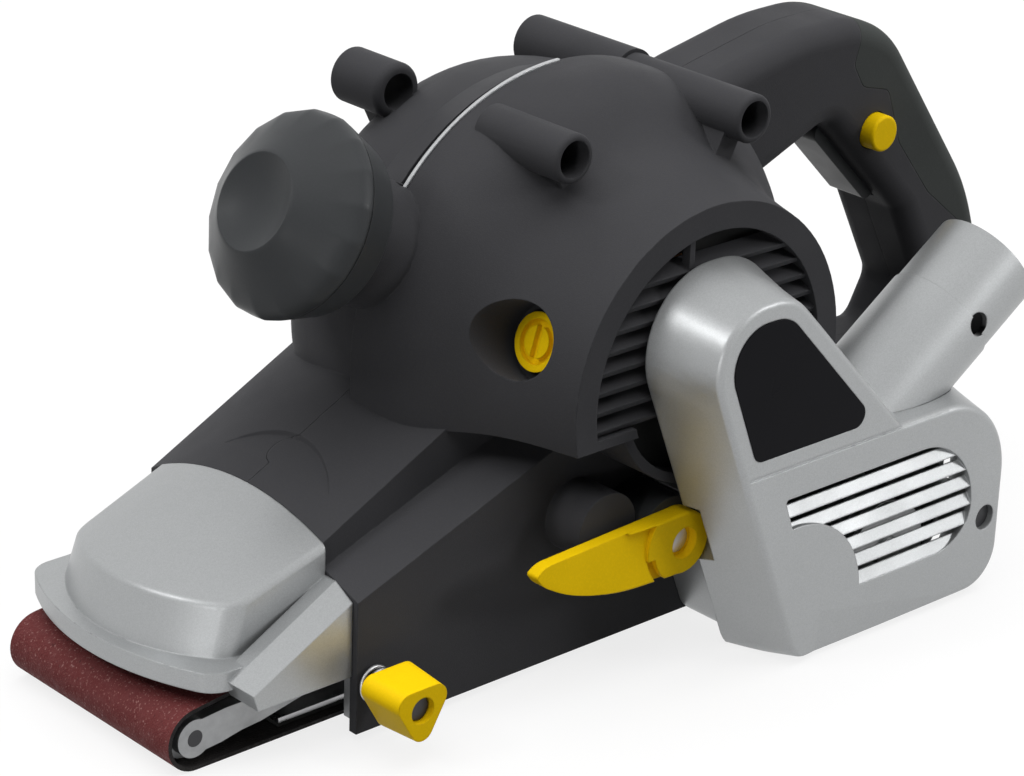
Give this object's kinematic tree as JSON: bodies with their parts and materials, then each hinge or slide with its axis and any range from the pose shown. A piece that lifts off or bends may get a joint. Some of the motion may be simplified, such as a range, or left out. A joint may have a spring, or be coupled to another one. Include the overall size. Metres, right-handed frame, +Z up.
{
  "type": "belt sander",
  "caption": "Handheld electric belt sander with closed rear handle, ball front knob, side drive cover, angled dust tube, belt tension lever and tracking knob.",
  "frame": {"origin": "middle of the sanding face, on the belt's flat lower run", "axes": "+Z up, +X towards the rear handle, -Y towards the drive cover; the nose points along -X"},
  "size_m": [0.3549, 0.1462, 0.1681],
  "materials": {
    "housing_plastic": "fine textured charcoal",
    "knob_plastic": "satin black",
    "grip_rubber": "soft matt dark grey",
    "silver_paint": "silver metallic flake paint",
    "silver_trim": "silver coated",
    "label_black": "bare black plate",
    "yellow_plastic": "satin yellow",
    "belt_grit": "red-brown abrasive grit on cloth",
    "pad_cloth": "graphite coated cloth",
    "steel": "turned steel",
    "dark_steel": "blackened steel",
    "alloy": "cast and machined",
    "black_rubber": "moulded rubber",
    "copper": "enamelled winding and bare segments",
    "iron_core": "stacked laminations",
    "bronze": "sintered bush",
    "carbon": "pressed carbon",
    "inner_plastic": "moulded, unpainted"
  },
  "bodies": {
    "sander": {"housing_left": "housing_plastic", "housing_right": "housing_plastic", "soft_grip": "grip_rubber", "trim_strip": "silver_trim", "housing_screws": "dark_steel", "knob_base": "knob_plastic", "front_knob": "knob_plastic", "knob_bolt": "steel", "nose_cover": "silver_paint", "drive_cover": "silver_paint", "label_plate": "label_black", "dust_tube": "silver_paint", "cover_screw": "dark_steel", "sanding_belt": "belt_grit", "platen_pad": "pad_cloth", "platen": "steel", "platen_screws": "dark_steel", "base_frame": "alloy", "roller_bearings": "steel", "drive_belt": "black_rubber", "stator": "iron_core", "field_coils": "copper", "motor_bearings": "steel", "end_shield": "inner_plastic", "brush_holders": "bronze", "carbon_brushes": "carbon", "brush_caps": "yellow_plastic", "lever_base": "knob_plastic", "tracking_spring": "steel", "switch_body": "inner_plastic", "cord_gland": "black_rubber"},
    "rotor": {"motor_shaft": "steel", "armature": "iron_core", "commutator": "copper", "fan": "inner_plastic", "motor_pulley": "steel"},
    "drive_axle": {"drive_shaft": "steel", "drive_roller": "alloy", "roller_sleeve": "black_rubber", "drive_pulley": "alloy"},
    "slide": {"tension_slide": "steel", "tension_spring": "steel", "fork_pin": "steel"},
    "fork": {"nose_fork": "alloy", "nose_axle": "dark_steel"},
    "nose_wheel": {"nose_roller": "alloy", "nose_bushes": "bronze"},
    "lever": {"tension_lever": "yellow_plastic", "lever_shaft": "steel"},
    "tracking": {"tracking_knob": "yellow_plastic", "tracking_screw": "dark_steel"},
    "trigger_body": {"trigger": "knob_plastic"},
    "button_body": {"lock_button": "yellow_plastic"}
  },
  "joints": [
    {"name": "motor_spin", "type": "hinge", "parent": "sander", "child": "rotor", "pos_m": [0.047, 0, 0.0895], "axis": [0, 1, 0], "continuous": true},
    {"name": "drive_spin", "type": "hinge", "parent": "sander", "child": "drive_axle", "pos_m": [0.109, 0, 0.0225], "axis": [0, 1, 0], "continuous": true},
    {"name": "tension_lever_turn", "type": "hinge", "parent": "sander", "child": "lever", "pos_m": [0.0383, -0.074, 0.0403], "axis": [0, -1, 0], "range_deg": [0, 35.05]},
    {"name": "nose_slide", "type": "slide", "parent": "sander", "child": "slide", "axis": [1, 0, 0], "range_m": [0, 0.006]},
    {"name": "tracking_turn", "type": "hinge", "parent": "sander", "child": "tracking", "pos_m": [-0.06, -0.07, 0.0178], "axis": [0, 1, 0], "range_deg": [-180, 180]},
    {"name": "nose_yaw", "type": "hinge", "parent": "slide", "child": "fork", "pos_m": [-0.08, 0, 0.0095], "axis": [0, 0, 1], "range_deg": [-0.5, 0.5]},
    {"name": "nose_spin", "type": "hinge", "parent": "fork", "child": "nose_wheel", "pos_m": [-0.109, 0, 0.0095], "axis": [0, 1, 0], "continuous": true},
    {"name": "trigger_pull", "type": "hinge", "parent": "sander", "child": "trigger_body", "pos_m": [0.16164, -0.004, 0.12799], "axis": [0, -1, 0], "range_deg": [0, 6], "stiffness_Nm_per_rad": 0.6, "springref_deg": -8.59},
    {"name": "lock_button_press", "type": "slide", "parent": "sander", "child": "button_body", "axis": [0, 1, 0], "range_m": [0, 0.004], "stiffness_N_per_m": 600, "springref_m": -0.002}
  ],
  "couplings": [
    {"joint": "drive_spin", "follows": "motor_spin", "ratio": 0.53125},
    {"joint": "nose_spin", "follows": "motor_spin", "ratio": 1.4489},
    {"joint": "tension_lever_turn", "follows": "nose_slide", "rad_per_m": 101.81},
    {"joint": "nose_yaw", "follows": "tracking_turn", "ratio": 0.0027778}
  ]
}
